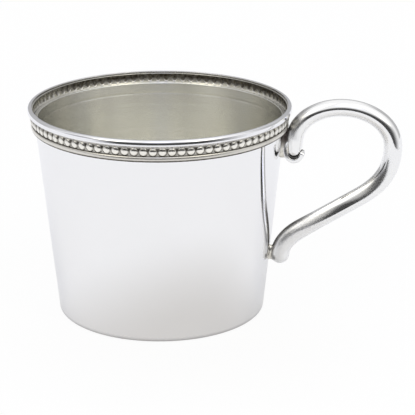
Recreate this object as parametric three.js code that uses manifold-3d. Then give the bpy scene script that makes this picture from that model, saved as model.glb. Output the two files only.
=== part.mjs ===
// A baby cup of polished metal: tapered wall on a flat base, beaded border, round lip and cast scroll handle.
// Millimetres, +Z up. The origin is the centre of the flat underside, and the handle points along +X.
import * as THREE from "three";
import { mergeVertices } from "three/addons/utils/BufferGeometryUtils.js";
import Module from "manifold-3d";

// Cup
const cupHeight = 57.2; // underside to the crest of the lip
const baseDiameter = 56.8; // outside of the wall where it stands on the base
const mouthDiameter = 67.6; // outside of the wall at its top edge
const wallThickness = 1.0;
const baseThickness = 1.2;
const baseEdgeRadius = 0.6; // rounding of the underside's edge
const baseFillet = 1.1; // leg of the solder fillet in the corner inside

// Border
const ledgeDepth = 2.75; // crest of the lip down to the wall's top edge
const lipThickness = 1.5; // the lip is an oval wire
const lipWidth = 2.24;
const lipSetOut = 0.38; // middle of the lip outside the line of the wall
const stripThickness = 0.5;
const beadCount = 90;
const beadDiameter = 2.3;
const beadRelief = 0.6; // how far a bead stands out of the strip
const fluteWidth = 1.7; // behind each bead a flute hangs from the lip
const fluteDrop = 1.1;
const fluteDepth = 0.28;
const lowerWireHeight = 1.56;
const lowerWireDepth = 0.45; // how far the lower wire stands out of the strip

// Handle: a rod whose middle line runs from the neck to the foot, and a thin tail that curls under the neck
const scrollDrop = 6.12; // lower edge of the border down to the eye of the scroll
const scrollSetIn = 0.25; // eye of the scroll, nearer the cup than the middle of the neck
const scrollReach = 2.25; // middle of the tail about the eye, along X
const scrollDepth = 2.8; // and along Z
const tailRootTurn = 140; // degrees about the eye, where the tail leaves the neck
const tailTipTurn = 373; // and where its tip touches the neck again
const neckSetOut = 1.75; // middle of the neck outside the border
const neckLift = 0.6; // eye of the scroll up to the middle of the neck's rounded end
const neckHeight = 2.68; // eye of the scroll up to the spring of the arch
const archSpan = 12.62; // spring to crown, along X
const archRise = 9.5; // spring to crown, along Z
const loopSpan = 13.75; // crown to the outermost point, along X
const loopRise = 10.55; // outermost point to crown, along Z
const runLength = 18.2; // straight stretch of the lower run
const runSlope = 31.8; // degrees below level, towards the cup
const footBendOut = 5.6; // the bend at the foot, along X
const footBendUp = 7.6; // and along Z
const footHeight = 15.4; // table to the middle of the rounded foot
const footStandoff = 0.45; // solder between the wall and the foot
const tipThickness = 0.4;
const tailThickness = 0.9;
const rootThickness = 1.1;
const neckEndThickness = 4.0;
const neckThickness = 4.7;
const archThickness = 4.65;
const loopThickness = 4.95;
const runThickness = 5.2;
const footThickness = 5.05;
const tipWidth = 3.2; // across the handle's plane, where the tail is flat
const tailWidth = 4.1;
const rootWidth = 2.6;

// How far each bend of the handle follows its first and its last direction, as shares of the bend
const turnPull = [0.52, 0.42];
const footPull = [0.55, 0.42];

// Solder pads between handle and wall
const upperPadHeight = 8.5;
const upperPadWidth = 3.2;
const upperPadLift = 1.7; // middle of the pad above the eye of the scroll
const upperPadBite = 0.25; // how far the pad reaches round the side of the neck
const lowerPadHeight = 4.8;
const lowerPadWidth = 3.0;
const lowerPadLift = 0.5; // middle of the pad above the middle of the foot

// Clearances
const lapClearance = 0.1; // strip to wall
const seatClearance = 0.06; // wires, fillet and solder to what they sit on

// Facets
const turnSteps = 92; // round the cup
const wireSides = 8;
const roundingSteps = 3; // to a quarter turn of a rounding, fillet or dome
const beadSteps = 4; // columns to a bead
const beadFlank = 0.62; // middle rows of a bead or flute, as a share of its half height
const rodSides = 12;
const rodStep = 2.4; // longest step along the handle
const leastSteps = 5; // along each of its curves
const padSides = 16;

// What the pieces share
const lipHeight = cupHeight - lipThickness / 2;
const wallTop = cupHeight - ledgeDepth;
const stripTop = cupHeight - lipThickness - seatClearance;
const beadHeight = stripTop - beadDiameter / 2;
const beadBottom = stripTop - beadDiameter;
const lowerWireTop = beadBottom - seatClearance;
const borderBottom = lowerWireTop - lowerWireHeight;
const scrollHeight = borderBottom - scrollDrop;
const quarterTurn = Math.PI / 2;
const { degToRad, lerp, smoothstep } = THREE.MathUtils;

// Outside radius of the wall's cone, carried on above its top edge to line up the border.
function wallOuter(z) {
  const share = (z - baseThickness) / (wallTop - baseThickness);
  return lerp(baseDiameter / 2, mouthDiameter / 2, share);
}

function wallInner(z) {
  return wallOuter(z) - wallThickness;
}

function stripInner(z) {
  return wallOuter(z) + lapClearance;
}

function stripOuter(z) {
  return stripInner(z) + stripThickness;
}

const springX = stripOuter(borderBottom) + lowerWireDepth + neckSetOut;
const footX = wallOuter(footHeight) + footStandoff + footThickness / 2;

const wasm = await Module();
wasm.setup();

function solidOf(geometry) {
  const bare = new THREE.BufferGeometry();
  bare.setAttribute("position", geometry.getAttribute("position"));
  bare.setIndex(geometry.index);
  const merged = mergeVertices(bare, 1e-4);
  return new wasm.Manifold(
    new wasm.Mesh({
      numProp: 3,
      vertProperties: new Float32Array(merged.attributes.position.array),
      triVerts: new Uint32Array(merged.index.array),
    }),
  );
}

function geometryOf(solid) {
  const mesh = solid.getMesh();
  const geometry = new THREE.BufferGeometry();
  geometry.setAttribute("position", new THREE.BufferAttribute(mesh.vertProperties, 3));
  geometry.setIndex(new THREE.BufferAttribute(mesh.triVerts, 1));
  geometry.computeVertexNormals();
  return geometry;
}

// Turns a profile of [radius, height] pairs about +Z. It starts and ends on the axis or closes on itself.
function turned(profile) {
  const points = profile.map(([radius, height]) => new THREE.Vector2(radius, height));
  return new THREE.LatheGeometry(points, turnSteps).rotateX(quarterTurn);
}

// Joins rings of points, all with the same count, to one closed surface.
// The rings close on themselves, or end in the two points given.
function skinned(rings, ends) {
  const count = rings[0].length;
  const points = rings.flat();
  const index = [];
  const bands = ends ? rings.length - 1 : rings.length;
  for (let i = 0; i < bands; i++) {
    const a = i * count;
    const b = ((i + 1) % rings.length) * count;
    for (let j = 0; j < count; j++) {
      const k = (j + 1) % count;
      index.push(a + j, a + k, b + k, a + j, b + k, b + j);
    }
  }
  if (ends) {
    const first = points.length;
    const last = (rings.length - 1) * count;
    points.push(...ends);
    for (let j = 0; j < count; j++) {
      const k = (j + 1) % count;
      index.push(first, k, j, first + 1, last + j, last + k);
    }
  }
  const geometry = new THREE.BufferGeometry().setFromPoints(points);
  geometry.setIndex(index);
  geometry.computeVertexNormals();
  return geometry;
}

function cupWall() {
  return turned([
    [wallInner(baseThickness), baseThickness],
    [wallOuter(baseThickness), baseThickness],
    [wallOuter(wallTop), wallTop],
    [wallInner(wallTop), wallTop],
    [wallInner(baseThickness), baseThickness],
  ]);
}

function baseDisc() {
  const radius = wallOuter(baseThickness);
  const rounding = [];
  for (let i = 0; i <= roundingSteps; i++) {
    const angle = (i / roundingSteps) * quarterTurn;
    rounding.push([
      radius - baseEdgeRadius * (1 - Math.sin(angle)),
      baseEdgeRadius * (1 - Math.cos(angle)),
    ]);
  }
  return turned([[0, 0], ...rounding, [radius, baseThickness], [0, baseThickness]]);
}

// The hollow face of the fillet is an arc that meets the base and the wall.
function baseSolder() {
  const bottom = baseThickness;
  const top = bottom + baseFillet;
  const outer = (z) => wallInner(z) - seatClearance;
  const centre = outer(bottom) - baseFillet;
  const profile = [[outer(bottom), bottom], [outer(top), top]];
  for (let i = 1; i <= roundingSteps; i++) {
    const angle = (i / roundingSteps) * quarterTurn;
    profile.push([centre + baseFillet * Math.cos(angle), top - baseFillet * Math.sin(angle)]);
  }
  return turned([...profile, profile[0]]);
}

function lipWire() {
  const middle = wallOuter(lipHeight) + lipSetOut;
  const profile = [];
  for (let i = 0; i <= wireSides; i++) {
    const angle = (i / wireSides) * 2 * Math.PI - quarterTurn;
    const radius = middle + (lipWidth / 2) * Math.cos(angle);
    profile.push([radius, lipHeight + (lipThickness / 2) * Math.sin(angle)]);
  }
  return turned(profile);
}

// Half round, with its flat back on the strip.
function lowerWire() {
  const middle = (lowerWireTop + borderBottom) / 2;
  const steps = wireSides / 2;
  const profile = [];
  for (let i = 0; i <= steps; i++) {
    const angle = (i / steps) * Math.PI - quarterTurn;
    const z = middle + (lowerWireHeight / 2) * Math.sin(angle);
    profile.push([stripOuter(z) + seatClearance + lowerWireDepth * Math.cos(angle), z]);
  }
  return turned([...profile, profile[0]]);
}

// Share of its full height that a dome has at a distance along the row and up or down from its middle.
function domeShare(along, up, halfWidth, halfHeight) {
  return Math.sqrt(Math.max(0, 1 - (along / halfWidth) ** 2 - (up / halfHeight) ** 2));
}

// The stamped strip: each column round the cup has one closed section, swollen where it crosses a bead.
function beadStrip() {
  const columns = Math.round(beadCount) * beadSteps;
  const pitch = (2 * Math.PI * stripOuter(beadHeight) * beadSteps) / columns;
  const beadRadius = beadDiameter / 2;
  const flank = beadFlank * beadRadius;
  const outside = [borderBottom, beadBottom, beadHeight - flank, beadHeight, beadHeight + flank, stripTop];
  const inside = [stripTop, stripTop - beadFlank * fluteDrop, stripTop - fluteDrop, borderBottom];
  const rings = [];
  for (let column = 0; column < columns; column++) {
    const angle = (-column / columns) * 2 * Math.PI;
    const along = ((column % beadSteps) / beadSteps - 0.5) * pitch;
    const bead = (z) => domeShare(along, z - beadHeight, beadRadius, beadRadius);
    const flute = (z) => domeShare(along, z - stripTop, fluteWidth / 2, fluteDrop);
    const section = [
      ...outside.map((z) => [stripOuter(z) + beadRelief * bead(z), z]),
      ...inside.map((z) => [stripInner(z) + fluteDepth * flute(z), z]),
    ];
    const place = ([radius, z]) => new THREE.Vector3(radius * Math.cos(angle), radius * Math.sin(angle), z);
    rings.push(section.map(place));
  }
  return skinned(rings);
}

// The handle's middle line in its own plane, as curves that follow on from each other.
// Each has its thickness in the plane and its width across it, at both ends.
function handleCurves() {
  const spot = (x, z) => new THREE.Vector2(x, z);
  const springZ = scrollHeight + neckHeight;
  const crownX = springX + archSpan;
  const outX = crownX + loopSpan;
  const outZ = springZ + archRise - loopRise;
  const slope = degToRad(runSlope);
  const along = spot(-Math.cos(slope), -Math.sin(slope));
  const runEnd = spot(footX + footBendOut, footHeight + footBendUp);
  const runStart = runEnd.clone().addScaledVector(along, -runLength);
  const drop = outZ - runStart.y;

  const neck = new THREE.LineCurve(spot(springX, scrollHeight + neckLift), spot(springX, springZ));
  const arch = new THREE.EllipseCurve(crownX, springZ, archSpan, archRise, Math.PI, quarterTurn, true);
  const loop = new THREE.EllipseCurve(crownX, outZ, loopSpan, loopRise, quarterTurn, 0, true);
  const turn = new THREE.CubicBezierCurve(
    spot(outX, outZ),
    spot(outX, outZ - drop * turnPull[0]),
    runStart.clone().addScaledVector(along, -drop * turnPull[1]),
    runStart,
  );
  const run = new THREE.LineCurve(runStart, runEnd);
  const foot = new THREE.CubicBezierCurve(
    runEnd,
    runEnd.clone().addScaledVector(along, footBendOut * footPull[0]),
    spot(footX, footHeight + footBendUp * footPull[1]),
    spot(footX, footHeight),
  );

  const round = (from, to) => ({ thick: [from, to], wide: [from, to] });
  return [
    { curve: neck, ...round(neckEndThickness, neckThickness) },
    { curve: arch, ...round(neckThickness, archThickness) },
    { curve: loop, ...round(archThickness, loopThickness) },
    { curve: turn, ...round(loopThickness, runThickness) },
    { curve: run, ...round(runThickness, runThickness) },
    { curve: foot, ...round(runThickness, footThickness) },
  ];
}

// The tail's middle line: part of an oval about the eye, from inside the neck to its lowest point and on to the tip.
function tailCurves() {
  const oval = (first, last) =>
    new THREE.EllipseCurve(
      springX - scrollSetIn,
      scrollHeight,
      scrollReach,
      scrollDepth,
      degToRad(first),
      degToRad(last),
    );
  const lowest = 270;
  return [
    { curve: oval(tailRootTurn, lowest), thick: [rootThickness, tailThickness], wide: [rootWidth, tailWidth] },
    { curve: oval(lowest, tailTipTurn), thick: [tailThickness, tipThickness], wide: [tailWidth, tipWidth] },
  ];
}

// Shrinking sections that close an end of the handle with a dome.
function domeSections(section, sign) {
  const dome = [];
  for (let i = 1; i <= roundingSteps; i++) {
    const angle = (i / roundingSteps) * quarterTurn;
    const reach = sign * section.thick * Math.sin(angle);
    dome.push({
      place: section.place.clone().addScaledVector(section.direction, reach),
      direction: section.direction,
      thick: section.thick * Math.cos(angle),
      wide: section.wide * Math.cos(angle),
    });
  }
  return dome;
}

// Sections along curves, each a place, a direction and two half sizes grown by a clearance.
function sectionsAlong(curves, growth) {
  const sections = [];
  curves.forEach(({ curve, thick, wide }, number) => {
    const steps = Math.max(leastSteps, Math.ceil(curve.getLength() / rodStep));
    for (let i = number === 0 ? 0 : 1; i <= steps; i++) {
      const share = i / steps;
      const swell = smoothstep(share, 0, 1);
      sections.push({
        place: curve.getPointAt(share),
        direction: curve.getTangentAt(share),
        thick: lerp(...thick, swell) / 2 + growth,
        wide: lerp(...wide, swell) / 2 + growth,
      });
    }
  });
  const start = domeSections(sections[0], -1).reverse();
  const end = domeSections(sections[sections.length - 1], 1);
  return [...start, ...sections, ...end];
}

// A rod of oval section along curves in the handle's plane.
function rodAlong(curves, growth) {
  const point = (x, y, z) => new THREE.Vector3(x, y, z);
  const sections = sectionsAlong(curves, growth);
  const rings = sections.slice(1, -1).map(({ place, direction, thick, wide }) => {
    const ring = [];
    for (let i = 0; i < rodSides; i++) {
      const angle = (i / rodSides) * 2 * Math.PI;
      const across = thick * Math.cos(angle);
      const aside = wide * Math.sin(angle);
      ring.push(point(place.x + direction.y * across, aside, place.y - direction.x * across));
    }
    return ring;
  });
  const ends = [sections[0], sections[sections.length - 1]].map(({ place }) => point(place.x, 0, place.y));
  return skinned(rings, ends);
}

// The rod and the tail, as one casting.
function handleSolid(growth = 0) {
  const [rod, tail] = [handleCurves(), tailCurves()].map((curves) => solidOf(rodAlong(curves, growth)));
  return rod.add(tail);
}

// Solder between wall and handle: an oval plug, less the wall and the handle with the clearance round them.
function handleSolder(height, width, middle, reach) {
  const plug = new THREE.CylinderGeometry(0.5, 0.5, reach, padSides).rotateZ(quarterTurn);
  plug.scale(1, width, height).translate(reach / 2, 0, middle);
  const cone = turned([
    [0, baseThickness],
    [wallOuter(baseThickness) + seatClearance, baseThickness],
    [wallOuter(wallTop) + seatClearance, wallTop],
    [0, wallTop],
  ]);
  return geometryOf(solidOf(plug).subtract(solidOf(cone)).subtract(handleSolid(seatClearance)));
}

function upperHandleSolder() {
  const reach = springX - neckEndThickness / 2 + upperPadBite;
  return handleSolder(upperPadHeight, upperPadWidth, scrollHeight + upperPadLift, reach);
}

function lowerHandleSolder() {
  return handleSolder(lowerPadHeight, lowerPadWidth, footHeight + lowerPadLift, footX);
}

const polished = { color: 0xe4e4e2, metalness: 1, roughness: 0.08 };
const satin = { color: 0xd6d5d0, metalness: 1, roughness: 0.22 };
const antiqued = { color: 0xbdb8ac, metalness: 1, roughness: 0.3 };
const solder = { color: 0xcfcabc, metalness: 1, roughness: 0.35 };

const cup = new THREE.Group();

function addPiece(name, geometry, finish) {
  const mesh = new THREE.Mesh(geometry, new THREE.MeshStandardMaterial(finish));
  mesh.name = name;
  cup.add(mesh);
}

addPiece("cup_wall", cupWall(), polished);
addPiece("base_disc", baseDisc(), satin);
addPiece("base_solder", baseSolder(), solder);
addPiece("bead_strip", beadStrip(), antiqued);
addPiece("lip_wire", lipWire(), polished);
addPiece("lower_wire", lowerWire(), polished);
addPiece("handle", geometryOf(handleSolid()), polished);
addPiece("upper_handle_solder", upperHandleSolder(), solder);
addPiece("lower_handle_solder", lowerHandleSolder(), solder);

export default cup;
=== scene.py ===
# %% [markdown]
# A baby cup of polished metal: a tapered wall on a flat base, a beaded border under a narrow lip, and a
# cast scroll handle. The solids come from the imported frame, which stays where it is. Polished metal shows
# every facet, so each solid is covered here by a smooth surface of the same size, and most of the look
# comes from what that surface mirrors: the table, the soft light above and a dark gap on the camera's
# side.

import bpy
import numpy as np
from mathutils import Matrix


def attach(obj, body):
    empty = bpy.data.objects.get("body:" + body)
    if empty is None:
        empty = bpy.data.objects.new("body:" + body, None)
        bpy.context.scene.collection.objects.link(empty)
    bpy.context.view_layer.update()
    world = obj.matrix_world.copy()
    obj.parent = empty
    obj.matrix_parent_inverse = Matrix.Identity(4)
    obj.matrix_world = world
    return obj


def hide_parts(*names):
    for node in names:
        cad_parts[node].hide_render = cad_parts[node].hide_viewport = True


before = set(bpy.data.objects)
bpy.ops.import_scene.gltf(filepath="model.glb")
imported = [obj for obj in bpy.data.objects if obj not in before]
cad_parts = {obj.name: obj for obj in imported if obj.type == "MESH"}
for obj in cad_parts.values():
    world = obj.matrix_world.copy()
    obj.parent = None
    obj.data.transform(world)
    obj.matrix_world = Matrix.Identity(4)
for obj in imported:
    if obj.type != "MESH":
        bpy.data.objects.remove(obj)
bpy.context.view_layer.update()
print("CAD nodes:", ", ".join(sorted(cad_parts)))

# %% [markdown]
# The camera looks down at the cup from a little under half a metre with a long lens, so the rim is a flat
# ellipse and the sides hardly converge. Its place was worked out from the ellipses of the rim and the
# base. It stands a few degrees to the right of straight ahead, because the handle points slightly towards
# it.

# %% Camera
MM = 0.001  # sizes below are in millimetres, and meshes are in metres
camera_turn = 5.5

camera_data = bpy.data.cameras.new("camera")
camera_data.sensor_width = 36.0
camera_data.lens = 144.98
camera_data.clip_start = 0.01
camera = bpy.data.objects.new("camera", camera_data)
camera.location = np.array([54.25, -430.2, 178.2]) * MM
camera.rotation_euler = np.radians([70.86, 0.0, camera_turn])
bpy.context.scene.collection.objects.link(camera)
bpy.context.scene.camera = camera
print("camera at", [round(v, 4) for v in camera.location])

# %% [markdown]
# The sizes repeat those of the solids, so that each surface lies on the solid that it stands for. The
# wall is a cone, and the border lines up with that cone carried on above the wall's top edge.

# %% Sizes of the cup
cup_height = 57.2
base_radius = 28.4
mouth_radius = 33.8
wall_thickness = 1.0
base_thickness = 1.2
ledge_depth = 2.75
wall_top = cup_height - ledge_depth
wire_height = 1.5  # height of the plain wire that stands for the lip in the solids
lip_half_height = 0.9  # the lip that is drawn here is taller than that wire and sits a little higher
lip_lift = 0.12
lip_height = cup_height - wire_height / 2 + lip_lift
seam = 0.06
strip_top = cup_height - wire_height - seam
bead_radius = 1.15
bead_drop = 0.18
bead_height = strip_top - bead_drop - bead_radius
bead_bottom = bead_height - bead_radius
lower_wire_top = bead_bottom - seam
lower_wire_height = 1.56
lower_wire_depth = 0.45
border_bottom = lower_wire_top - lower_wire_height
strip_lap = 0.1
strip_thickness = 0.5


def wall_outer(z):
    """Outside radius of the wall at a height: a straight line from the base to the mouth."""
    share = (z - base_thickness) / (wall_top - base_thickness)
    return base_radius + (mouth_radius - base_radius) * share


def wall_inner(z):
    """Inside radius of the wall: the outside less the thickness of the sheet."""
    return wall_outer(z) - wall_thickness


def strip_inner(z):
    """Inside radius of the border strip, a hair outside the wall that it laps."""
    return wall_outer(z) + strip_lap


def strip_outer(z):
    """Outside radius of the border strip between its beads."""
    return strip_inner(z) + strip_thickness


print("lip crest at", round(lip_height + lip_half_height, 2))
print("border from", round(border_bottom, 2), "to", round(strip_top, 2))

# %% [markdown]
# Every piece is a grid of points: rows along a profile or a path, columns round it. One helper joins the
# neighbours of the grid to four-sided faces. It measures the volume that the faces enclose and turns them
# round if it is negative, so that faces always point outwards.

# %% Grid to mesh


def faces_between(number):
    """Corners of the faces of a grid of point numbers: each point, its neighbour and two of the next row."""
    corners = [number[:-1, :-1], number[:-1, 1:], number[1:, 1:], number[1:, :-1]]
    return np.stack(corners, axis=-1).reshape(-1, 4)


def faces_of_grid(rows, columns, rows_close):
    """Faces of a grid whose last column meets its first, and whose last row may meet its first."""
    number = np.arange(rows * columns).reshape(rows, columns)
    number = np.hstack([number, number[:, :1]])
    if rows_close:
        number = np.vstack([number, number[:1]])
    return faces_between(number)


def caps_of_grid(rows, columns):
    """Triangles from two single points, numbered after the grid, to its first and its last row."""
    ring = np.arange(columns)
    following = np.roll(ring, -1)
    first = np.stack([np.full(columns, rows * columns), following, ring], axis=-1)
    end = (rows - 1) * columns
    last = np.stack([np.full(columns, rows * columns + 1), end + ring, end + following], axis=-1)
    return np.vstack([first, last])


def enclosed_volume(points, triangles):
    """Six times the volume inside the triangles: the sum of the corners' triple products."""
    a, b, c = (points[triangles[:, i]] for i in range(3))
    return np.einsum("ij,ij->", a, np.cross(b, c))


def shell_of_grid(grid, poles=None):
    """Points, four-sided faces and caps of one closed shell, from a grid whose columns close on themselves.

    The rows close on themselves too, or two poles close the first and the last row."""
    rows, columns = grid.shape[:2]
    points = grid.reshape(-1, 3)
    quads = faces_of_grid(rows, columns, poles is None)
    caps = np.empty((0, 3), int)
    if poles is not None:
        points = np.vstack([points, poles])
        caps = caps_of_grid(rows, columns)
    halves = np.vstack([quads[:, [0, 1, 2]], quads[:, [0, 2, 3]], caps])
    if enclosed_volume(points, halves) < 0:
        quads = quads[:, ::-1]
        caps = caps[:, ::-1]
    return points, quads, caps


def piece_from_shells(name, shells):
    """One smooth object in metres from closed shells in millimetres."""
    starts = np.cumsum([0] + [len(points) for points, _, _ in shells])
    points = np.vstack([shell[0] for shell in shells])
    quads = np.vstack([shell[1] + start for shell, start in zip(shells, starts)])
    caps = np.vstack([shell[2] + start for shell, start in zip(shells, starts)])
    mesh = bpy.data.meshes.new(name)
    mesh.vertices.add(len(points))
    mesh.vertices.foreach_set("co", (points * MM).astype(np.float32).ravel())
    corner_counts = np.concatenate([np.full(len(quads), 4), np.full(len(caps), 3)])
    mesh.loops.add(int(corner_counts.sum()))
    corners = np.concatenate([quads.ravel(), caps.ravel()])
    mesh.loops.foreach_set("vertex_index", corners.astype(np.int32))
    mesh.polygons.add(len(corner_counts))
    loop_starts = np.concatenate([[0], np.cumsum(corner_counts)[:-1]])
    mesh.polygons.foreach_set("loop_start", loop_starts.astype(np.int32))
    mesh.update(calc_edges=True)
    mesh.shade_smooth()
    piece = bpy.data.objects.new(name, mesh)
    bpy.context.scene.collection.objects.link(piece)
    print(name, "has", len(points), "points and", len(corner_counts), "faces")
    return piece


def piece_from_grid(name, grid, poles=None):
    """One smooth object from a single grid."""
    return piece_from_shells(name, [shell_of_grid(grid, poles)])


def point_attribute(piece, name, values):
    """Stores one number for each point of a piece, which its finish can read by name."""
    layer = piece.data.attributes.new(name, "FLOAT", "POINT")
    layer.data.foreach_set("value", np.asarray(values, np.float32).ravel())


print("grid helpers ready")

# %% [markdown]
# Shader maths reads best as plain expressions. This class wraps one output of a node tree: adding or
# multiplying it adds the Math node, and one method adds any other kind of node.

# %% Shader expressions


class Shade:
    """One output of a node tree, with arithmetic. Without an output it is just the tree."""

    def __init__(self, tree, socket=None):
        self.tree = tree
        self.socket = socket

    def node(self, kind, settings=None, values=None, output=0):
        """Adds a node: its settings first, then a value or a link for each named socket."""
        made = self.tree.nodes.new(kind)
        for key, value in (settings or {}).items():
            setattr(made, key, value)
        for key, value in (values or {}).items():
            if isinstance(value, Shade):
                self.tree.links.new(value.socket, made.inputs[key])
            else:
                made.inputs[key].default_value = value
        return Shade(self.tree, made.outputs[output] if made.outputs else None)

    def math(self, operation, *numbers):
        """A Math node on these numbers or outputs."""
        return self.node("ShaderNodeMath", {"operation": operation}, dict(enumerate(numbers)))

    def __add__(self, other):
        return self.math("ADD", self, other)

    def __sub__(self, other):
        return self.math("SUBTRACT", self, other)

    def __mul__(self, other):
        return self.math("MULTIPLY", self, other)

    def __radd__(self, other):
        return self.math("ADD", other, self)

    def __rsub__(self, other):
        return self.math("SUBTRACT", other, self)

    def __rmul__(self, other):
        return self.math("MULTIPLY", other, self)

    def ramp(self, low, high):
        """0 below low, 1 above high and a smooth rise between."""
        values = {"Value": self, "From Min": low, "From Max": high}
        return self.node("ShaderNodeMapRange", {"interpolation_type": "SMOOTHSTEP"}, values)

    def mix(self, first, second):
        """Mixes two colours, with this output as the share of the second."""
        settings = {"data_type": "RGBA", "clamp_factor": True}
        return self.node("ShaderNodeMix", settings, {0: self, 6: first, 7: second}, output=2)


def colour(value):
    """A colour with its alpha, from three linear numbers."""
    return (*value, 1.0)


def new_finish(name):
    """An empty material and its tree, to which a finish adds its nodes."""
    material = bpy.data.materials.new(name)
    material.use_nodes = True
    material.node_tree.nodes.clear()
    return material, Shade(material.node_tree)


def metal(tree, anisotropic, **sockets):
    """Ends a tree with a metal shader. What is the same all over is set on its sockets."""
    values = {"Metallic": 1.0, "Anisotropic": anisotropic}
    values.update({key.replace("_", " ").title(): value for key, value in sockets.items()})
    shader = tree.node("ShaderNodeBsdfPrincipled", None, values)
    tree.node("ShaderNodeOutputMaterial", None, {"Surface": shader})


def noise(tree, place, scale, detail=3.0):
    """Cloudy noise from 0 to 1, with about scale patches to a metre."""
    values = {"Vector": place, "Scale": scale, "Detail": detail, "Roughness": 0.55}
    return tree.node("ShaderNodeTexNoise", None, values)


def stretched(tree, place, scale):
    """Coordinates scaled by a different number along each axis."""
    return tree.node("ShaderNodeVectorMath", {"operation": "MULTIPLY"}, {0: place, 1: scale})


def bumped(tree, height, strength, distance):
    """A bent normal for a height pattern."""
    values = {"Height": height, "Strength": strength, "Distance": distance}
    return tree.node("ShaderNodeBump", None, values)


print("shader helpers ready")

# %% [markdown]
# The outside of the cup is buffed to a mirror. On the real thing a mirror still has faint hand polishing
# lines, a breath of dullness where fingers were, and a surface that waves by a few thousandths of a
# millimetre. An image could hold such marks, but noise on Object coordinates needs no picture and has no
# seam.

# %% Mirror finish


def mirror_finish(name, tint, dullness):
    """Polished metal: cloudy dullness and fine polishing lines vary its roughness, a slow wave its normal."""
    material, tree = new_finish(name)
    place = tree.node("ShaderNodeTexCoord", output="Object")
    clouds = noise(tree, place, 55.0).ramp(0.45, 0.75)
    lines = noise(tree, stretched(tree, place, (250.0, 250.0, 9000.0)), 1.0, detail=2.0)
    wave = noise(tree, place, 30.0, detail=1.0)
    shade = (clouds * 0.6 + lines * 0.4).mix(colour(tint), colour([0.985 * v for v in tint]))
    roughness = dullness + 0.02 * clouds + 0.012 * lines
    normal = bumped(tree, wave, 0.03, 0.0004)
    metal(tree, 0.0, base_color=shade, roughness=roughness, normal=normal)
    return material


mirror = mirror_finish("mirror_silver", (0.925, 0.925, 0.93), 0.035)
print("finish made:", mirror.name)

# %% [markdown]
# The inside was turned on a lathe and left satin: fine rings run round it, so its highlights are drawn
# out up and down. Grooves in the mesh could do that, but they would need thousands of rows. The shader's
# own stretch does it with none, and its direction runs round the axis unless told otherwise. A band
# below the ledge is a little darker.

# %% Satin finish
darker_band_depth = 16.0


def ring_noise(tree, along, scale, detail):
    """Noise along one line only, so that it is the same all the way round a ring."""
    values = {"W": along, "Scale": scale, "Detail": detail}
    return tree.node("ShaderNodeTexNoise", {"noise_dimensions": "1D"}, values)


def satin_finish(name, tint, dullness, anisotropic):
    """Turned metal: rings of slightly different brightness and roughness, a faint bump and a darker band
    below the ledge.

    Rings follow the sum of radius and height, so they cross the floor and climb the wall."""
    material, tree = new_finish(name)
    place = tree.node("ShaderNodeTexCoord", output="Object")
    flat = stretched(tree, place, (1.0, 1.0, 0.0))
    from_axis = tree.node("ShaderNodeVectorMath", {"operation": "LENGTH"}, {0: flat}, "Value")
    height = tree.node("ShaderNodeSeparateXYZ", None, {0: place}, "Z")
    along = from_axis + height
    rings = ring_noise(tree, along, 1000.0, 1.0)
    coarse = ring_noise(tree, along, 450.0, 2.0)
    clouds = noise(tree, place, 70.0)
    shade = (0.6 * rings + 0.4 * coarse).mix(colour([0.93 * v for v in tint]), colour(tint))
    # a band below the ledge is made a little darker
    darker_band = height.ramp((wall_top - darker_band_depth) * MM, wall_top * MM)
    shade = (0.6 * darker_band).mix(shade, colour([0.85 * v for v in tint]))
    roughness = dullness + 0.03 * rings + 0.02 * clouds
    normal = bumped(tree, coarse, 0.02, 0.00004)
    looks = {"base_color": shade, "roughness": roughness, "normal": normal}
    metal(tree, anisotropic, anisotropic_rotation=0.25, **looks)
    return material


satin = satin_finish("satin_silver", (0.917, 0.909, 0.85), 0.235, 0.82)
print("finish made:", satin.name)

# %% [markdown]
# Most pieces of a cup are turned: a profile of radii and heights is carried round the axis. A modifier
# could do that, but arrays give control over each row. A profile is written down as a few corners, and
# each corner gets a small rounding, because a real edge always catches light.

# %% Profiles


def rounded_profile(corners, step):
    """Points along a closed outline of (radius, height, rounding) corners.

    Each corner is an arc that touches both sides. Straight stretches have points no more than a step apart,
    with one close to each arc, so that the smooth shading of the arc stays on the arc."""
    corner = np.array([c[:2] for c in corners], float)
    rounding = np.array([c[2] for c in corners], float)
    before = np.roll(corner, 1, axis=0) - corner
    after = np.roll(corner, -1, axis=0) - corner
    before /= np.linalg.norm(before, axis=1, keepdims=True)
    after /= np.linalg.norm(after, axis=1, keepdims=True)
    half = np.arccos(np.clip(np.einsum("ij,ij->i", before, after), -1, 1)) / 2
    setback = rounding / np.tan(half)
    start = corner + before * setback[:, None]
    end = corner + after * setback[:, None]
    middle = before + after
    middle *= (rounding / np.sin(half) / np.linalg.norm(middle, axis=1))[:, None]
    centre = corner + middle
    pieces = []
    for i in range(len(corner)):
        first = np.arctan2(*(start[i] - centre[i])[::-1])
        last = np.arctan2(*(end[i] - centre[i])[::-1])
        turn = (last - first + np.pi) % (2 * np.pi) - np.pi
        angle = first + turn * np.linspace(0, 1, 7)
        pieces.append(centre[i] + rounding[i] * np.stack([np.cos(angle), np.sin(angle)], axis=-1))
        gap = start[(i + 1) % len(corner)] - end[i]
        length = np.linalg.norm(gap)
        inset = min(0.04, 0.2 * length)
        count = max(2, int(np.ceil(length / step)))
        share = np.linspace(inset, length - inset, count) / length
        pieces.append(end[i] + gap * share[:, None])
    return np.vstack(pieces)


def turned(profile, columns):
    """Carries (radius, height) points round the axis: radius times cosine and sine of an angle."""
    angle = np.linspace(0, 2 * np.pi, columns, endpoint=False)
    radius, height = profile[:, :1], profile[:, 1:]
    around = [radius * np.cos(angle), radius * np.sin(angle), height + 0 * angle]
    return np.stack(around, axis=-1)


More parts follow.
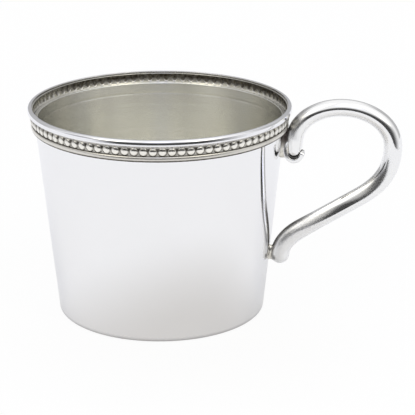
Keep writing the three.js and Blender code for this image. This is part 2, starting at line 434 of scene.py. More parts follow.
def radius_and_height(piece):
    """Radius and height in millimetres of the middle of each face."""
    middles = np.empty(len(piece.data.polygons) * 3, np.float32)
    piece.data.polygons.foreach_get("center", middles)
    middles = middles.reshape(-1, 3) / MM
    return np.hypot(middles[:, 0], middles[:, 1]), middles[:, 2]


def two_finishes(piece, first, second, has_second):
    """Gives a piece two finishes, the second one on the marked faces."""
    piece.data.materials.append(first)
    piece.data.materials.append(second)
    piece.data.polygons.foreach_set("material_index", has_second.astype(np.int32))
    print(piece.name, "has", int(has_second.sum()), "faces in", second.name)


print("profile helpers ready")

# %% [markdown]
# The wall is a tapered sheet. A cone with a thickness from a modifier would come close, but it would
# leave out what the edges and the inside show. Its profile runs up the outside, over the top edge, which
# is the ledge inside the border, and down the inside, where the lathe left one shallow line. The outside
# is the mirror and the inside is satin.

# %% Cup wall
wall_columns = 400
line_z = border_bottom  # the line of the lathe is level with the foot of the border
line_half_width = 0.4
line_depth = 0.045
line_rounding = 1.2
wall_corners = [
    (wall_inner(base_thickness), base_thickness, 0.05),
    (wall_outer(base_thickness), base_thickness, 0.01),
    (wall_outer(wall_top), wall_top, 0.12),
    (wall_inner(wall_top), wall_top, 0.22),
    (wall_inner(line_z + line_half_width), line_z + line_half_width, line_rounding),
    (wall_inner(line_z) + line_depth, line_z, line_rounding),
    (wall_inner(line_z - line_half_width), line_z - line_half_width, line_rounding),
]
wall_profile = rounded_profile(wall_corners, 0.9)
cup_wall = piece_from_grid("cup_wall_skin", turned(wall_profile, wall_columns))
radius, height = radius_and_height(cup_wall)
is_inside = radius < wall_outer(height) - 0.4 * wall_thickness
two_finishes(cup_wall, mirror, satin, is_inside)

# %% [markdown]
# The border was darkened all over and rubbed back, so a brown tarnish stays wherever a cloth can't reach.
# It could be painted by hand, but here the shape itself says where that is. So each point of a piece
# stores how much tarnish is left, and the finish mixes polished metal and tarnish by that share. The same
# share also carries painted shade and painted reflections, in the same brown: in creases, under overhangs
# and in gaps between parts.

# %% Antiqued finish with painted shade


def smooth_step(value, low, high):
    """0 below low, 1 above high and a smooth rise between, for whole arrays."""
    share = np.clip((value - low) / (high - low), 0, 1)
    return share * share * (3 - 2 * share)


def tarnish_and_shade_finish(name, bright, dark, dullness):
    """Polished metal under tarnish and painted shade. Noise breaks up the dark share, which is dull where it
    is thick.

    A second share on the points, for wear, dulls the metal without darkening it."""
    material, tree = new_finish(name)
    place = tree.node("ShaderNodeTexCoord", output="Object")
    stored = tree.node("ShaderNodeAttribute", {"attribute_name": "tarnish_and_shade"}, output="Fac")
    worn = tree.node("ShaderNodeAttribute", {"attribute_name": "wear"}, output="Fac")
    blotches = noise(tree, place, 1100.0)
    clouds = noise(tree, place, 60.0)
    left = stored * (0.72 + 0.56 * blotches)
    shade = left.math("MINIMUM", left, 1.0).mix(colour(bright), colour(dark))
    roughness = dullness + 0.02 * clouds + 0.26 * left + worn * (0.24 + 0.12 * clouds)
    normal = bumped(tree, blotches, 0.05, 0.00005)
    metal(tree, 0.0, base_color=shade, roughness=roughness, normal=normal)
    return material


# one dark brown for tarnish and for painted shade and painted reflections
tarnish_and_shade_brown = (0.060, 0.051, 0.038)
antiqued_wire = tarnish_and_shade_finish("antiqued_wire", (0.915, 0.915, 0.93), tarnish_and_shade_brown, 0.05)
print("finish made:", antiqued_wire.name)

# %% [markdown]
# The base is a disc that the wall stands on. Its underside is flat and its top shows as the floor of the
# cup. A cylinder with a bevel has the same rounding on both edges, but this disc is round only at the
# table, so it is turned too. Its profile starts and ends at a small hub, which two poles on the axis
# close. A faint dark line is painted on the rounded edge at the table: a painted reflection of the dark
# gap under it.

# %% Base
hub = 0.4
base_corners = [
    (hub, 0.0, 0.05),
    (wall_outer(0.0), 0.0, 0.6),
    (wall_outer(base_thickness), base_thickness, 0.01),
    (hub, base_thickness, 0.05),
]
base_profile = rounded_profile(base_corners, 1.4)
# The closed outline is cut open at the hub, where the poles take over.
from_hub = np.abs(base_profile[:, 0] - hub) + (base_profile[:, 1] - base_thickness / 2) ** 2
base_profile = np.roll(base_profile, -np.argmin(from_hub), axis=0)
base_profile = base_profile[base_profile[:, 0] > hub + 0.05]
base_poles = np.array([[0.0, 0.0, 0.0], [0.0, 0.0, base_thickness]])
base_disc = piece_from_grid("base_disc_skin", turned(base_profile, wall_columns), base_poles)
# painted reflection: a faint dark line on the rounded edge, where it would mirror the gap under it
edge_painted_reflection = 0.4 * smooth_step(-base_profile[:, 1], -0.85, -0.3)
point_attribute(base_disc, "tarnish_and_shade", np.append(np.repeat(edge_painted_reflection, wall_columns), [0, 0]))
radius, height = radius_and_height(base_disc)
is_face = (height < 0.02) | (height > base_thickness - 0.02)
two_finishes(base_disc, antiqued_wire, satin, is_face)

# %% [markdown]
# Solder fills the corner between the wall and the floor. A bevel could draw it if the two were one mesh,
# but they are pieces of their own, and so is the solder: a hollow quarter round, turned like the rest. It
# was turned smooth together with the floor, so it has the same finish.

# %% Solder in the corner
fillet = 1.1
fillet_angle = np.linspace(0, np.pi / 2, 13)
fillet_top = base_thickness + fillet
fillet_foot = wall_inner(base_thickness) - 0.06
fillet_head = wall_inner(fillet_top) - 0.02
hollow_radius = fillet_foot - fillet + fillet * np.cos(fillet_angle)
hollow_z = fillet_top - fillet * np.sin(fillet_angle)
fillet_corner = [[fillet_foot, base_thickness], [fillet_head, fillet_top]]
fillet_profile = np.vstack([fillet_corner, np.stack([hollow_radius, hollow_z], axis=-1)])
base_fillet = piece_from_grid("base_solder_skin", turned(fillet_profile, wall_columns))
base_fillet.data.materials.append(satin)

# %% [markdown]
# The lip is a wire that was soldered round the outside of the strip. A torus is the quick way to make a
# wire, but this one isn't round. Its outer half is a squarish oval, and its inner half is cut short,
# because the strip runs up inside it. Its inner side, below the crest, where a cloth slides over it, is
# darkened by tarnish and by painted shade under the lip.

# %% Lip
wire_columns = 480
lip_middle = wall_outer(lip_height) + 0.43
lip_inner_half = 0.06
lip_outer_half = 1.07
lip_square = 3.0  # exponent of the oval: 2 is an ellipse, and more is squarer
lip_lean = np.radians(3)
wire_angle = np.linspace(0, 2 * np.pi, 96, endpoint=False)


def squared_oval(angle, exponent):
    """Reach of an oval of half size 1 in a direction: its coordinates, to the exponent, add up to 1."""
    return (np.abs(np.cos(angle)) ** exponent + np.abs(np.sin(angle)) ** exponent) ** (-1 / exponent)


lip_reach = squared_oval(wire_angle - lip_lean, lip_square)
lip_reach /= np.max(np.abs(lip_reach * np.sin(wire_angle)))
lip_out = lip_reach * np.cos(wire_angle)
lip_up = lip_reach * np.sin(wire_angle)
lip_radius = lip_middle + np.where(lip_out > 0, lip_outer_half, lip_inner_half) * lip_out
lip_profile = np.stack([lip_radius, lip_height + lip_half_height * lip_up], axis=-1)
lip_wire = piece_from_grid("lip_wire_skin", turned(lip_profile, wire_columns))
# tarnish and painted shade on the inner side of the lip, below the crest
lip_tarnish_and_shade = 0.85 * smooth_step(-lip_out, 0.3, 0.9) * smooth_step(-lip_up, -0.85, -0.45)
point_attribute(lip_wire, "tarnish_and_shade", np.repeat(lip_tarnish_and_shade, wire_columns))
lip_wire.data.materials.append(antiqued_wire)

# %% [markdown]
# The lower edge of the border is a half-round wire that covers the lap of the strip over the wall. It
# could be a swelling of the strip, but as a piece of its own it keeps a crisp seam. Fingers wore it to a
# warm, slightly dull metal, and the seams above and below it are darkened by tarnish and painted shade.

# %% Lower wire
lower_middle = (lower_wire_top + border_bottom) / 2
lower_reach = (lower_wire_top - border_bottom) / 2
lower_angle = np.linspace(-np.pi / 2, np.pi / 2, 33)
lower_z = lower_middle + lower_reach * np.sin(lower_angle)
lower_out = strip_outer(lower_z) + seam + lower_wire_depth * np.cos(lower_angle)
back_inset = 0.1
back_slack = 0.02
back_top = [strip_outer(lower_wire_top) - back_inset, lower_wire_top - back_slack]
back_bottom = [strip_outer(border_bottom) - back_inset, border_bottom + back_slack]
lower_profile = np.vstack([np.stack([lower_out, lower_z], axis=-1), back_top, back_bottom])
lower_wire = piece_from_grid("lower_wire_skin", turned(lower_profile, wire_columns))
# tarnish and painted shade in the seams above and below the wire
seams = np.maximum(smooth_step(-lower_angle, 0.15, 0.6), smooth_step(lower_angle, 0.7, 1.35))
lower_tarnish_and_shade = np.concatenate([0.16 + 0.78 * seams, [0.9, 0.9]])
point_attribute(lower_wire, "tarnish_and_shade", np.repeat(lower_tarnish_and_shade, wire_columns))
worn_wire = tarnish_and_shade_finish("worn_wire", (0.89, 0.865, 0.80), tarnish_and_shade_brown, 0.24)
lower_wire.data.materials.append(worn_wire)

# %% [markdown]
# The bead strip was stamped: each bead stands out in front and leaves a flute behind, which shows above
# the ledge inside the cup. Separate balls would leave no flutes, so one closed section runs round the cup
# and swells by the height of a dome where it crosses a bead. Wear made the beads uneven, so each has its
# own height and tarnish, drawn at random from a fixed start that gives the same beads every time.

# %% Bead strip
bead_count = 90
bead_relief = 0.6
rim_step = 0.35
flute_half_width = 0.85
flute_half_height = 1.1
flute_depth = 0.25
flute_drop = 0.12
columns_to_a_bead = 20


def dome_share(along, up, half_width, half_height):
    """Height of a dome over its oval foot, as a share of its full height, and 0 outside it."""
    return np.sqrt(np.clip(1 - (along / half_width) ** 2 - (up / half_height) ** 2, 0, 1))


strip_columns = bead_count * columns_to_a_bead
strip_angle = np.linspace(0, 2 * np.pi, strip_columns, endpoint=False)
bead_pitch = 2 * np.pi * strip_outer(bead_height) / bead_count
across_share = (np.arange(strip_columns) % columns_to_a_bead) / columns_to_a_bead
along_bead = (across_share - 0.5) * bead_pitch
bead_rows = bead_height - bead_radius * np.cos(np.linspace(0, np.pi, 23))
strip_foot = [border_bottom, border_bottom + 0.6, lower_wire_top - 0.2]
strip_rim = lip_height + rim_step
outer_z = np.concatenate([strip_foot, bead_rows, [strip_rim]])[:, None]
flute_middle = strip_rim - flute_drop - flute_half_height
flute_rows = flute_middle + flute_half_height * np.cos(np.linspace(0, np.pi, 17))
inner_z = np.concatenate([[strip_rim], flute_rows, [bead_bottom, border_bottom]])[:, None]
up_bead = outer_z - bead_height
bead_wear = np.random.default_rng(7)
worn_relief = np.repeat(bead_wear.uniform(0.68, 1.05, bead_count), columns_to_a_bead)
worn_tarnish = np.repeat(bead_wear.uniform(0.7, 1.35, bead_count), columns_to_a_bead)
bead_swell = worn_relief * dome_share(along_bead, up_bead, bead_radius, bead_radius)
up_flute = inner_z - flute_middle
flute_swell = dome_share(along_bead, up_flute, flute_half_width, flute_half_height) ** 2
front_radius = strip_outer(outer_z) + bead_relief * bead_swell
back_radius = strip_inner(inner_z) + flute_depth * flute_swell
strip_radius = np.vstack([front_radius, back_radius])
strip_x = strip_radius * np.cos(strip_angle)
strip_y = strip_radius * np.sin(strip_angle)
strip_z = np.vstack([outer_z, inner_z]) + 0 * strip_radius
bead_strip = piece_from_grid("bead_strip_skin", np.stack([strip_x, strip_y, strip_z], axis=-1))

# %% [markdown]
# Tarnish stays where a cloth skips: in the pits between the beads and in the flutes. Painted shade adds
# to it under the lip: the upper pits are darker than the lower ones, the upper halves of the beads are
# darkened, and so is the inside below the rim. On the side of the cup away from the handle the inside is
# made lighter. The grid already knows how far each point is from the middle of its bead or flute, so the
# tarnish and the painted shade are worked out from those distances.

# %% Tarnish and painted shade of the bead strip
from_bead = np.hypot(along_bead, up_bead) / bead_radius
# tarnish in the pits between the beads, with painted shade making the upper pits darker under the lip
in_pit = smooth_step(up_bead, -0.5 * bead_radius, 0.6 * bead_radius)
in_pit = in_pit * smooth_step(np.abs(along_bead), 0.3 * bead_radius, 0.9 * bead_radius)
by_lip = smooth_step(up_bead, 0.65 * bead_radius, bead_radius)
gap_tarnish_and_shade = (0.58 + 0.36 * in_pit - 0.44 * by_lip) * smooth_step(from_bead, 0.6, 0.98)
# tarnish and painted shade on the upper halves of the beads, under the lip
up_share = (up_bead + 0.25 * np.abs(along_bead)) / bead_radius
top_tarnish_and_shade = 0.42 * worn_tarnish * smooth_step(up_share, 0.12, 0.62)
flute_tarnish = 0.9 * smooth_step(flute_swell, 0.02, 0.4)
# tarnish and painted shade inside below the rim, under the lip
shadow_tarnish = 0.94 * smooth_step(inner_z + 0 * flute_swell, wall_top - 0.1, strip_rim - 0.9)
shadow_tarnish[0] = 0.15  # the rim itself is rubbed bright
# the inside is made lighter on the side of the cup away from the handle
lighter_away_from_handle = 1 - 0.45 * smooth_step(-np.cos(strip_angle), 0.78, 0.98)
inner_tarnish_and_shade = lighter_away_from_handle * np.maximum(flute_tarnish, shadow_tarnish)
strip_tarnish_and_shade = np.vstack([np.maximum(gap_tarnish_and_shade, top_tarnish_and_shade), inner_tarnish_and_shade])
point_attribute(bead_strip, "tarnish_and_shade", strip_tarnish_and_shade)
antiqued_bead = tarnish_and_shade_finish("antiqued_silver", (0.93, 0.91, 0.845), tarnish_and_shade_brown, 0.11)
bead_strip.data.materials.append(antiqued_bead)
print("tarnish of the strip from", round(strip_tarnish_and_shade.min(), 2), "to", round(strip_tarnish_and_shade.max(), 2))

# %% [markdown]
# The handle is a cast rod. Its middle line lies in one plane: the neck, two quarter ellipses for the arch
# and the loop, a turn, the straight lower run and the bend of the foot. A thin tail leaves the neck on
# the cup's side and curls round under its end. One spline could follow all of it, but arcs and straight
# lines are easier to measure. They meet in line with each other, and a little smoothing along the rod
# hides the joins.

# %% Middle line of the handle
scroll_drop = 5.94
neck_gap = 1.75
neck_height = 2.68
scroll_z = border_bottom - scroll_drop
spring_x = strip_outer(border_bottom) + lower_wire_depth + neck_gap
spring_z = scroll_z + neck_height
arch_span = np.array([12.62, 9.25])
loop_span = np.array([13.75, 10.3])
crown_x = spring_x + arch_span[0]
out_x = crown_x + loop_span[0]
out_z = spring_z + arch_span[1] - loop_span[1]
run_slope = np.radians(31.8)
run_way = np.array([-np.cos(run_slope), -np.sin(run_slope)])
run_length = 18.2
foot_z = 15.4
foot_gap = 0.45
foot_size = 5.05
foot_reach = np.array([5.6, 7.6])
foot_x = wall_outer(foot_z) + foot_gap + foot_size / 2
run_end = np.array([foot_x, foot_z]) + foot_reach
run_start = run_end - run_length * run_way
curve_share = np.linspace(0, 1, 200)[:, None]


def oval_arc(centre, reach, first, last):
    """Points of an oval from one angle to another: the centre plus the reach times cosine and sine."""
    angle = np.radians(first + (last - first) * curve_share)
    return np.array(centre) + np.array(reach) * np.hstack([np.cos(angle), np.sin(angle)])


def bend(a, b, c, d):
    """A cubic curve from a to d that leaves towards b and arrives from c."""
    t = curve_share
    return (1 - t) ** 3 * a + 3 * (1 - t) ** 2 * t * b + 3 * (1 - t) * t**2 * c + t**3 * d


def spot(x, z):
    """A point in the handle's plane."""
    return np.array([x, z])


drop = out_z - run_start[1]
neck_end = spot(spring_x, scroll_z - 0.1)
neck = neck_end + (spot(spring_x, spring_z) - neck_end) * curve_share
scroll_eye = (spring_x - 0.1, scroll_z)
scroll_reach = (2.35, 3.0)
tail_root = oval_arc(scroll_eye, scroll_reach, 128, 270)
tail_tip = oval_arc(scroll_eye, scroll_reach, 270, 341)
arch = oval_arc((crown_x, spring_z), arch_span, 180, 90)
loop = oval_arc((crown_x, out_z), loop_span, 90, 0)
turn_pulls = [spot(out_x, out_z - 0.52 * drop), run_start - 0.42 * drop * run_way]
turn = bend(spot(out_x, out_z), *turn_pulls, run_start)
run = run_start + (run_end - run_start) * curve_share
foot_pulls = [run_end + 0.55 * foot_reach[0] * run_way, spot(foot_x, foot_z + 0.42 * foot_reach[1])]
foot = bend(run_end, *foot_pulls, spot(foot_x, foot_z))
print("handle reaches", round(out_x, 2), "mm from the axis along its middle line")

# %% [markdown]
# Each stretch of the line has a thickness in the plane and a width across it at both ends. The rod is
# nearly round and swells slightly towards the run. The tail is a flat strap. Rows of points are then
# spaced evenly along the whole line, because uneven rows would show as ripples in the polish.

# %% Rows along the handle
rod_stretches = [
    (neck, (4.0, 4.7), (4.0, 4.7)),
    (arch, (4.7, 4.65), (4.7, 4.65)),
    (loop, (4.65, 4.95), (4.65, 4.95)),
    (turn, (4.95, 5.2), (4.95, 5.2)),
    (run, (5.2, 5.2), (5.2, 5.2)),
    (foot, (5.2, foot_size), (5.2, foot_size)),
]
tail_stretches = [
    (tail_root, (1.2, 1.25), (3.3, 4.0)),
    (tail_tip, (1.25, 1.6), (4.0, 4.0)),
]


def length_along(points):
    """Length of the line up to each of its points."""
    return np.concatenate([[0], np.cumsum(np.linalg.norm(np.diff(points, axis=0), axis=1))])


def stretch_rows(line, thick, wide):
    """Points of a stretch with their half thickness and half width."""
    share = length_along(line)
    share = smooth_step(share / share[-1], 0, 1)
    sizes = [(ends[0] + (ends[1] - ends[0]) * share) / 2 for ends in (thick, wide)]
    return np.column_stack([line, *sizes])


def smoothed(rows, width):
    """Averages each row with its neighbours under a bell curve, with the ends held where they are."""
    reach = int(3 * width)
    bell = np.exp(-0.5 * (np.arange(-reach, reach + 1) / width) ** 2)
    bell /= bell.sum()
    before = 2 * rows[0] - rows[reach:0:-1]
    after = 2 * rows[-1] - rows[-2 : -reach - 2 : -1]
    padded = np.vstack([before, rows, after])
    return np.column_stack([np.convolve(column, bell, "valid") for column in padded.T])


def even_rows(stretches, step, width):
    """Rows of all the stretches, a step apart along the line, with the joins smoothed."""
    parts = [stretch_rows(*stretch) for stretch in stretches]
    rows = np.vstack([part[:-1] for part in parts] + [parts[-1][-1:]])
    along = length_along(rows[:, :2])
    even = np.linspace(0, along[-1], int(along[-1] / step))
    rows = np.column_stack([np.interp(even, along, column) for column in rows.T])
    return smoothed(rows, width)


rod_rows = even_rows(rod_stretches, 0.2, 4.0)
tail_rows = even_rows(tail_stretches, 0.12, 3.0)
print("handle has", len(rod_rows), "sections along the rod and", len(tail_rows), "along the tail")

# %% [markdown]
# The rod's section is an oval, set square to the middle line. A curve object with a bevel could sweep it,
# but filing and polishing left the lower run squarer, with a flatter face that leans a little upwards, so
# the oval changes along the line. Domes close the two ends: their sections shrink with the cosine of an
# angle while they move on with its sine.

# %% Handle
rod_sides = 56
dome_angle = np.linspace(0, np.pi / 2, 14)[1:-1, None]
side_angle = np.linspace(0, 2 * np.pi, rod_sides, endpoint=False)


def dome_rows(row, way, sign):
    """Shrinking sections beyond an end of the rod."""
    reach = sign * row[2] * np.sin(dome_angle)
    return np.hstack([row[:2] + reach * way, row[2:] * np.cos(dome_angle)])


def rod_grid(rows, squareness, lean):
    """Ovals square to a line in the plane y = 0, domes at both ends, and the two points that close them.

    Squareness is the exponent of the oval at each row, and lean turns its flatter sides."""
    way = np.gradient(rows[:, :2], axis=0)
    way /= np.linalg.norm(way, axis=1, keepdims=True)
    dome_count = len(dome_angle)
    before = dome_rows(rows[0], way[0], -1)[::-1]
    after = dome_rows(rows[-1], way[-1], 1)
    full = np.vstack([before, rows, after])
    full_way = np.pad(way, ((dome_count, dome_count), (0, 0)), "edge")
    exponent = np.pad(squareness, dome_count, "edge")[:, None]
    reach = squared_oval(side_angle - lean, exponent)
    reach /= np.max(reach, axis=1, keepdims=True) ** 0.5
    in_plane = full[:, 2:3] * reach * np.cos(side_angle)
    across = full[:, 3:4] * reach * np.sin(side_angle)
    x = full[:, :1] + full_way[:, 1:] * in_plane
    z = full[:, 1:2] - full_way[:, :1] * in_plane
    grid = np.stack([x, across, z], axis=-1)
    tips = [rows[0, :2] - rows[0, 2] * way[0], rows[-1, :2] + rows[-1, 2] * way[-1]]
    return grid, np.insert(tips, 1, 0.0, axis=1)


line_x, line_up = rod_rows[:, 0], rod_rows[:, 1]
in_run = smooth_step(-line_up, -out_z + 4, -out_z + 16)
in_run *= smooth_step(line_x, run_end[0] - 2, run_end[0] + 10)
rod, rod_poles = rod_grid(rod_rows, 2 + 1.7 * in_run, np.radians(23))
tail, tail_poles = rod_grid(tail_rows, np.linspace(10.0, 7.0, len(tail_rows)), 0.0)
handle_shells = [shell_of_grid(rod, rod_poles), shell_of_grid(tail, tail_poles)]
handle = piece_from_shells("handle_skin", handle_shells)

# %% [markdown]
# The handle is darkened where it nearly touches the cup: tarnish and painted shade under the end of the
# neck, in the hollow of the curl and above the foot, tarnish in one pit beside it, and a painted
# reflection of the border on the neck behind it and on the side of the rod that faces the border. Where
# hands and cloths rub, at the foot, at the turn and beside the border, the metal is clean but matt. Each
# place is a soft mask, worked out from where the points are.

# %% Tarnish, painted shade and wear of the handle
rod_x, rod_z = rod[..., 0], rod[..., 2]
loop_side = np.cos(side_angle)  # 1 towards the middle of the loop, and -1 away from it or into the curl
is_neck = smooth_step(rod_z, scroll_z - 4, scroll_z - 3) * (rod_x < spring_x + 3)
# tarnish and painted shade under the end of the neck
under_neck = 0.97 * smooth_step(-rod_z, -(scroll_z - 0.9), -(scroll_z - 1.6))
# painted reflection of the border on the neck, on the side facing the cup
facing_cup = smooth_step(-rod_x, -(spring_x - 0.9), -(spring_x - 2.0))
at_border = 0.8 * facing_cup * smooth_step(rod_z, scroll_z + 1.0, scroll_z + 3.2)
at_border *= rod_z < border_bottom + 1
# tarnish and painted shade above the foot, on the side facing the cup
at_foot = 0.85 * smooth_step(-rod_x, -(run_end[0] + 5), -(run_end[0] - 2))
at_foot *= rod_z < run_end[1] + 5
rod_tarnish_and_shade = is_neck * np.maximum(under_neck, at_border)
rod_tarnish_and_shade += at_foot * smooth_step(loop_side, 0.7, 0.97)
pit_middle = np.array([31.3, -1.6, 15.0])
from_pit = np.linalg.norm(rod - pit_middle, axis=-1)
rod_tarnish_and_shade = np.maximum(rod_tarnish_and_shade, 0.7 * smooth_step(-from_pit, -1.1, -0.3))
# painted reflection of the border, a blurred brown, on the side of the rod facing it
by_border = smooth_step(-rod_x, -(spring_x + 5.0), -(spring_x + 1.5))
by_border *= smooth_step(rod_z, scroll_z + 1.5, scroll_z + 4.0)
rod_tarnish_and_shade = np.maximum(rod_tarnish_and_shade, 0.5 * by_border * smooth_step(-loop_side, 0.1, 0.8))

# tarnish and painted shade in the hollow of the curl
tail_turn = np.arctan2(tail[..., 2] - scroll_z, tail[..., 0] - scroll_eye[0])
in_hollow = smooth_step(tail_turn, -np.radians(165), -np.radians(120)) * (tail_turn < 1)
tail_tarnish_and_shade = 0.97 * smooth_step(-loop_side, 0.66, 0.82) * in_hollow
handle_tarnish_and_shade = [rod_tarnish_and_shade.ravel(), [0.97, 0], tail_tarnish_and_shade.ravel(), [0, 0]]
point_attribute(handle, "tarnish_and_shade", np.concatenate(handle_tarnish_and_shade))

rod_wear = smooth_step(-rod_x, -(run_end[0] + 12), -(run_end[0] + 1)) * (rod_z < run_end[1] + 9)
at_turn = smooth_step(rod_x, run_start[0] - 4, run_start[0] + 2)
at_turn *= smooth_step(-rod_z, -out_z, -out_z + 10)
rod_wear += 0.45 * at_turn + 0.6 * by_border
tail_wear = np.full(tail[..., 0].size + len(tail_poles), 0.2)
point_attribute(handle, "wear", np.concatenate([rod_wear.ravel(), [0, 1], tail_wear]))
print("most wear on the rod", round(rod_wear.max(), 2))
handle_metal = tarnish_and_shade_finish("handle_silver", (0.925, 0.925, 0.92), tarnish_and_shade_brown, 0.055)
handle.data.materials.append(handle_metal)

# %% [markdown]
# Two fillets of solder hold the handle. Joining the handle and the wall with a Boolean and a bevel could
# make them, but it would break up the even grids that keep the polish smooth. So each is a short plug
# with a waist: ovals round a line from inside the wall to inside the rod, wide at both ends where the
# solder crept along the metal.

# %% Solder fillets


def solder_plug(name, middle_z, half_height, half_width, end_x, waist_up, waist_across):
    """Ovals from the wall to the rod. Half height and half width shrink to a waist and grow again."""
    share = np.linspace(0, 1, 25)[:, None]
    angle = np.linspace(0, 2 * np.pi, 64, endpoint=False)
    pinch = np.sin(np.pi * share) ** 0.8
    z = middle_z + half_height * (1 - waist_up * pinch) * np.sin(angle)
    y = half_width * (1 - waist_across * pinch) * np.cos(angle)
    from_x = np.sqrt(wall_outer(z) ** 2 - y**2) - 0.25
    x = from_x + (end_x - from_x) * share
    grid = np.stack([x, y, z], axis=-1)
    poles = np.stack([grid[0].mean(axis=0), grid[-1].mean(axis=0)])
    return piece_from_grid(name, grid, poles), np.vstack([grid.reshape(-1, 3), poles])


upper_solder, upper_points = solder_plug(
    "upper_handle_solder_skin", scroll_z + 1.7, 4.25, 1.6, spring_x - 1.6, 0.03, 0.3
)
lower_solder, lower_points = solder_plug(
    "lower_handle_solder_skin", foot_z + 0.5, 2.4, 1.5, foot_x - 1.9, 0.15, 0.35
)
# tarnish and painted shade on the upper half of the upper plug, under the border
under_border = 0.95 * smooth_step(upper_points[:, 2], scroll_z + 0.1, scroll_z + 3.0)
point_attribute(upper_solder, "tarnish_and_shade", under_border)
# tarnish and painted shade on the lower plug above the foot, in the gap by the wall
by_wall = smooth_step(-lower_points[:, 0], -(foot_x - 2.6), -(foot_x - 3.1))
above_foot = 0.9 * by_wall * smooth_step(lower_points[:, 2], foot_z + 0.8, foot_z + 2.0)
point_attribute(lower_solder, "tarnish_and_shade", above_foot)
solder = tarnish_and_shade_finish("solder", (0.80, 0.775, 0.71), (0.072, 0.055, 0.052), 0.24)
upper_solder.data.materials.append(solder)
lower_solder.data.materials.append(solder)

# %% [markdown]
# Each surface rides on the cup's one body and stands for its solid, which is hidden.

# %% Tie the pieces to the frame
ties = [
    (cup_wall, "cup_wall", "polished_silver"),
    (base_disc, "base_disc", "satin_silver"),
    (base_fillet, "base_solder", "solder"),
    (bead_strip, "bead_strip", "antiqued_silver"),
    (lip_wire, "lip_wire", "polished_silver"),
    (lower_wire, "lower_wire", "polished_silver"),
    (handle, "handle", "handle_silver"),
    (upper_solder, "upper_handle_solder", "solder"),
    (lower_solder, "lower_handle_solder", "solder"),
]
for piece, node_name, slot_name in ties:
    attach(piece, "root")
    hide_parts(node_name)
print(len(ties), "pieces ride on root")

# %% [markdown]
# A polished cup shows its studio more than itself. The table is white paper with a painted shade in front
# of the cup, darker and warmer, standing in for the light that the camera's side takes away: the foot of
# the wall mirrors that painted shade. Far from the cup the paper is slightly bluer. More light would make
# the background white, but it would bleach the cup too. So the camera sees most of the table as plain
# white, mirrors see a part of it so, and the rest keeps the cup's shadow and the painted shade.

# %% Table


def stage_sheet(name, points, material):
    """A flat or bent sheet of the studio, from a grid of points in millimetres."""
    rows, columns = points.shape[:2]
    faces = faces_between(np.arange(rows * columns).reshape(rows, columns))
    mesh = bpy.data.meshes.new(name)
    mesh.from_pydata((points.reshape(-1, 3) * MM).tolist(), [], faces.tolist())
    mesh.materials.append(material)
    sheet = bpy.data.objects.new(name, mesh)
    bpy.context.scene.collection.objects.link(sheet)
    return sheet


shade_middle = np.array([11.0, -28.0, 0.0])
shade_squeeze = np.array([0.8, 1.0, 1.0])
white_to_camera = 0.95
white_in_mirrors = 0.25


def white_share(tree, to_camera, to_mirrors):
    """Share of plain white that a ray meets: one for the camera, one for mirrors, and all of it for glass."""
    camera_ray = tree.node("ShaderNodeLightPath", output="Is Camera Ray")
    glossy_ray = tree.node("ShaderNodeLightPath", output="Is Glossy Ray")
    glass_ray = tree.node("ShaderNodeLightPath", output="Is Transmission Ray")
    return to_camera * camera_ray + to_mirrors * glossy_ray + glass_ray


def table_finish():
    """White paper with a painted shade: its colour depends on the distance from the middle of that shade in
    front of the cup.

    The distance is measured with x squeezed, so that the shade is wider than deep."""
    material, tree = new_finish("white_table")
    place = tree.node("ShaderNodeTexCoord", output="Object")
    grain = noise(tree, place, 60.0)
    white = grain.mix(colour((0.850, 0.857, 0.876)), colour((0.858, 0.865, 0.884)))
    ends = {0: stretched(tree, place, shade_squeeze), 1: shade_middle * shade_squeeze * MM}
    from_shade = tree.node("ShaderNodeVectorMath", {"operation": "DISTANCE"}, ends, "Value")
    white = from_shade.ramp(45 * MM, 160 * MM).mix(white, colour((0.852, 0.863, 0.898)))
    shade = from_shade.ramp(6 * MM, 54 * MM).mix(colour((0.570, 0.556, 0.540)), white)
    paper = tree.node("ShaderNodeBsdfDiffuse", None, {"Color": shade})
    glow = tree.node("ShaderNodeEmission", None, {"Strength": 1.0})
    plain = white_share(tree, white_to_camera, white_in_mirrors)
    shader = tree.node("ShaderNodeMixShader", None, {0: plain, 1: paper, 2: glow})
    tree.node("ShaderNodeOutputMaterial", None, {"Surface": shader})
    return material


table_reach = 2500.0
table_edge = np.array([-table_reach, table_reach])
table_x, table_y = np.meshgrid(table_edge, table_edge)
table_points = np.stack([table_x, table_y, 0 * table_x - 0.05], axis=-1)
stage_sheet("table", table_points, table_finish())
print("table reaches", table_reach, "mm each way")

# %% [markdown]
# The dark line along the lip and the streaks on the handle mirror a dark room behind the camera. Black
# walls round the scene would take light away, so a bent card stands for the room, and only reflections
# see it. It fades at its ends and its top, so that the lines end softly too. On the left the fade at the
# top starts higher and is shorter, so the card is darker there.

# %% Dark card


def dark_finish():
    """Matt black cloth that fades out where the share stored on its points falls to 0."""
    material, tree = new_finish("dark_card")
    place = tree.node("ShaderNodeTexCoord", output="Object")
    nap = noise(tree, place, 300.0)
    shade = nap.mix(colour((0.02, 0.02, 0.02)), colour((0.035, 0.034, 0.032)))
    cloth = tree.node("ShaderNodeBsdfDiffuse", None, {"Color": shade})
    clear = tree.node("ShaderNodeBsdfTransparent")
    cover = tree.node("ShaderNodeAttribute", {"attribute_name": "cover"}, output="Fac")
    shader = tree.node("ShaderNodeMixShader", None, {0: cover, 1: clear, 2: cloth})
    tree.node("ShaderNodeOutputMaterial", None, {"Surface": shader})
    return material


def reflections_only(sheet):
    """Leaves a sheet to mirrors alone: it neither shows nor shades anything."""
    sheet.visible_camera = False
    sheet.visible_diffuse = False
    sheet.visible_shadow = False


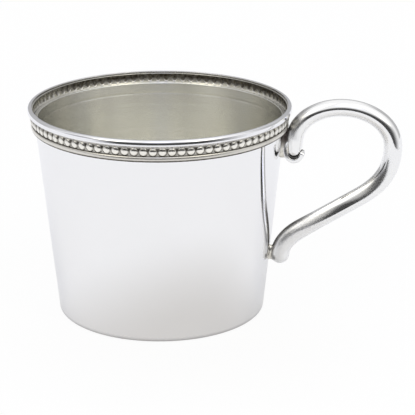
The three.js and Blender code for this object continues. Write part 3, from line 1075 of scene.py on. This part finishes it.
camera_side = camera_turn - 90
room_distance = 215.0
room_height = 145.0
room_left = -58
room_right = 84
left_full = -30
right_full = 34
room_turn = np.linspace(room_left, room_right, 72)
room_share = np.linspace(0, 1, 40)[:, None]
room_angle = np.radians(room_turn + camera_side)
room_x = room_distance * np.cos(room_angle) + 0 * room_share
room_y = room_distance * np.sin(room_angle) + 0 * room_share
room_z = room_height * room_share + 0 * room_x
dark_room = stage_sheet("dark_room", np.stack([room_x, room_y, room_z], axis=-1), dark_finish())
to_left = smooth_step(-room_turn, 4, 16)
room_fade = 0.5 + 0.24 * to_left
room_top = 1 - 0.18 * to_left
end_cover = smooth_step(room_turn, room_left, left_full) * smooth_step(-room_turn, -room_right, -right_full)
room_cover = end_cover * smooth_step(-room_share, -room_top, -room_fade)
point_attribute(dark_room, "cover", 0.95 * room_cover)
reflections_only(dark_room)
print("dark card", room_distance, "mm away for reflections")

# %% [markdown]
# The light is one soft dome: pale on the camera's side, grey behind the cup and white overhead. Soft
# boxes in it draw the bands on the satin inside, two warm ones at the sides and a cool one in the middle,
# and darker patches stand for the sides of the room. Area lamps could do this, but a mirror would show
# their hard edges. The far wall is hollow, so its left part mirrors what is at the right.

# %% Light
world = bpy.data.worlds.new("soft_dome")
world.use_nodes = True
world.node_tree.nodes.clear()
dome = Shade(world.node_tree)
way = dome.node("ShaderNodeTexCoord", output="Generated")
axes = [dome.node("ShaderNodeSeparateXYZ", None, {0: way}, output=axis) for axis in "XYZ"]
backdrop = axes[1].ramp(-0.2, 0.5).mix(colour((0.933, 0.933, 0.947)), colour((0.293, 0.293, 0.307)))
sky = axes[2].ramp(0.3, 0.85).mix(backdrop, colour((1.0, 1.0, 1.012)))
turn_of_sky = dome.math("ARCTAN2", axes[0], 0 - axes[1])
patch_edge = 0.12


def sky_patch(turn, width, bottom, top):
    """1 in a patch of the dome, from a turn to the right of the front and two heights, with soft edges."""
    away = dome.math("ABSOLUTE", turn_of_sky - np.radians(turn))
    beside = away.ramp(np.radians(0.3 * width), np.radians(1.4 * width))
    above = axes[2].ramp(top - patch_edge, top + patch_edge)
    return (1 - beside) * axes[2].ramp(bottom - patch_edge, bottom + patch_edge) * (1 - above)


warm_box = colour((3.3, 3.18, 2.82))
cool_box = colour((1.9, 2.05, 2.9))
dark_side = colour((0.34, 0.34, 0.35))
grey_wall = colour((0.267, 0.267, 0.307))
patches = [
    (sky_patch(-60, 26, -0.2, 0.6), grey_wall),
    (sky_patch(-130, 22, -0.2, 0.8), dark_side),
    (sky_patch(130, 22, -0.2, 0.8), dark_side),
    (sky_patch(-42, 16, 0.40, 0.9), warm_box),
    (sky_patch(5, 12, 0.6, 0.9), cool_box),
    (sky_patch(48, 16, 0.40, 0.9), warm_box),
]
for patch, tint in patches:
    sky = patch.mix(sky, tint)
light = white_share(dome, 1.0, white_in_mirrors).mix(sky, colour((1.0, 1.0, 1.0)))
background = dome.node("ShaderNodeBackground", None, {"Color": light, "Strength": 1.0})
dome.node("ShaderNodeOutputWorld", None, {"Surface": background})
bpy.context.scene.world = world
bpy.context.scene.view_settings.view_transform = "Standard"
print("soft dome with", len(patches), "patches")
